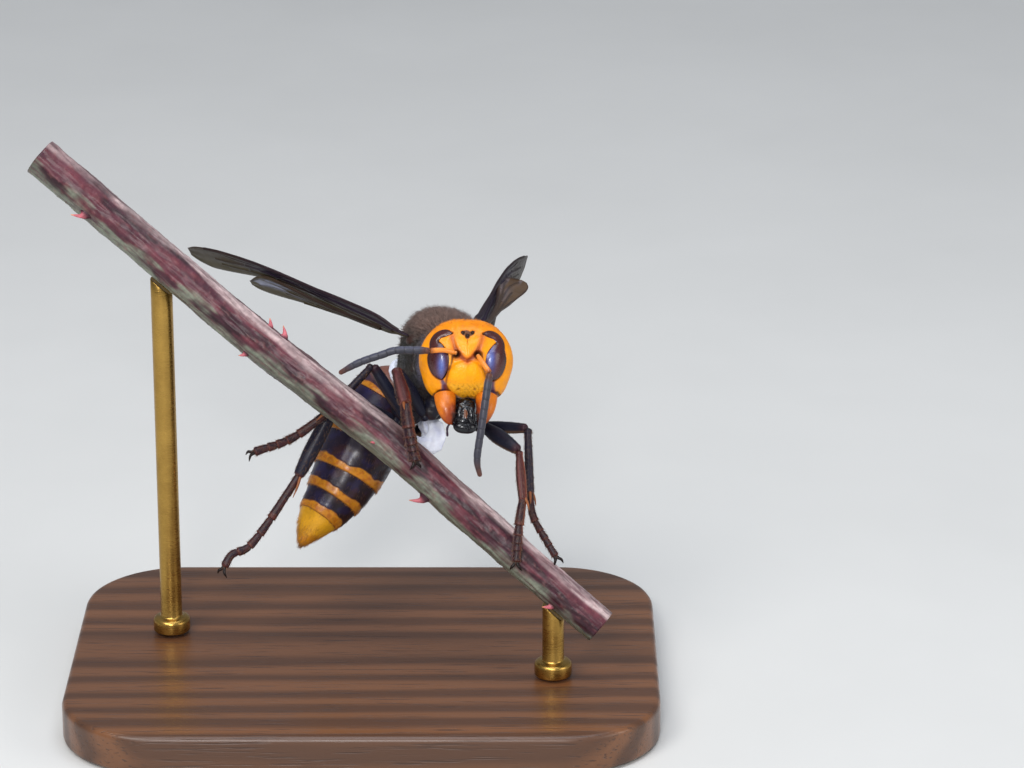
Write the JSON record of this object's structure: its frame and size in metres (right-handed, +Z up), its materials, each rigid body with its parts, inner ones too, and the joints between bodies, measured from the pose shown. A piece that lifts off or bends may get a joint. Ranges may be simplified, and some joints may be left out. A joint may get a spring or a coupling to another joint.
{
  "type": "asian giant hornet",
  "caption": "Life-size hornet with an orange head, banded abdomen and smoky wings, gripping a slanted bramble cane on a flat wooden stand.",
  "frame": {"origin": "middle of the flat underside of the stand's base, where it rests on a table", "axes": "+Z up; the face looks along -Y; +X towards the animal's left, along the base's longer side"},
  "size_m": [0.0636, 0.058, 0.0561],
  "materials": {
    "head_shell": "satin orange shell with fine pits",
    "eye_shell": "glossy dark maroon facets",
    "jaw_shell": "glossy orange shell, black along the teeth",
    "mouth_shell": "glossy black with brown tongue parts",
    "stalk_shell": "satin orange shell",
    "whip_shell": "dull blue-black ringed whip",
    "thorax_shell": "dark brown shell under short brown fur",
    "gaster_shell": "glossy dark brown shell with orange bands",
    "leg_shell": "satin blue-black to red-brown shell",
    "wing_membrane": "smoky brown membrane with dark veins",
    "marker_white": "soft white crumpled film",
    "cane_bark": "maroon ridged bark, paler on its lit side",
    "base_wood": "dark stained fine-grained wood",
    "rod_brass": "brushed brass"
  },
  "bodies": {
    "root": {"antenna_stalk_left": "stalk_shell", "antenna_stalk_right": "stalk_shell", "antenna_whip_left": "whip_shell", "antenna_whip_right": "whip_shell", "coxa_front_left": "leg_shell", "coxa_front_right": "leg_shell", "coxa_hind_left": "leg_shell", "coxa_hind_right": "leg_shell", "coxa_middle_left": "leg_shell", "coxa_middle_right": "leg_shell", "eye_left": "eye_shell", "eye_right": "eye_shell", "femur_front_left": "leg_shell", "femur_front_right": "leg_shell", "femur_hind_left": "leg_shell", "femur_hind_right": "leg_shell", "femur_middle_left": "leg_shell", "femur_middle_right": "leg_shell", "forewing_left": "wing_membrane", "forewing_right": "wing_membrane", "gaster_1": "gaster_shell", "gaster_2": "gaster_shell", "gaster_3": "gaster_shell", "gaster_4": "gaster_shell", "gaster_5": "gaster_shell", "gaster_6": "gaster_shell", "head": "head_shell", "hindwing_left": "wing_membrane", "hindwing_right": "wing_membrane", "mandible_left": "jaw_shell", "mandible_right": "jaw_shell", "marker_band": "marker_white", "marker_tail": "marker_white", "mouthparts": "mouth_shell", "perch_cane": "cane_bark", "stand_base": "base_wood", "stand_rod_high": "rod_brass", "stand_rod_low": "rod_brass", "tarsus_front_left": "leg_shell", "tarsus_front_right": "leg_shell", "tarsus_hind_left": "leg_shell", "tarsus_hind_right": "leg_shell", "tarsus_middle_left": "leg_shell", "tarsus_middle_right": "leg_shell", "thorax": "thorax_shell", "tibia_front_left": "leg_shell", "tibia_front_right": "leg_shell", "tibia_hind_left": "leg_shell", "tibia_hind_right": "leg_shell", "tibia_middle_left": "leg_shell", "tibia_middle_right": "leg_shell"}
  },
  "joints": []
}
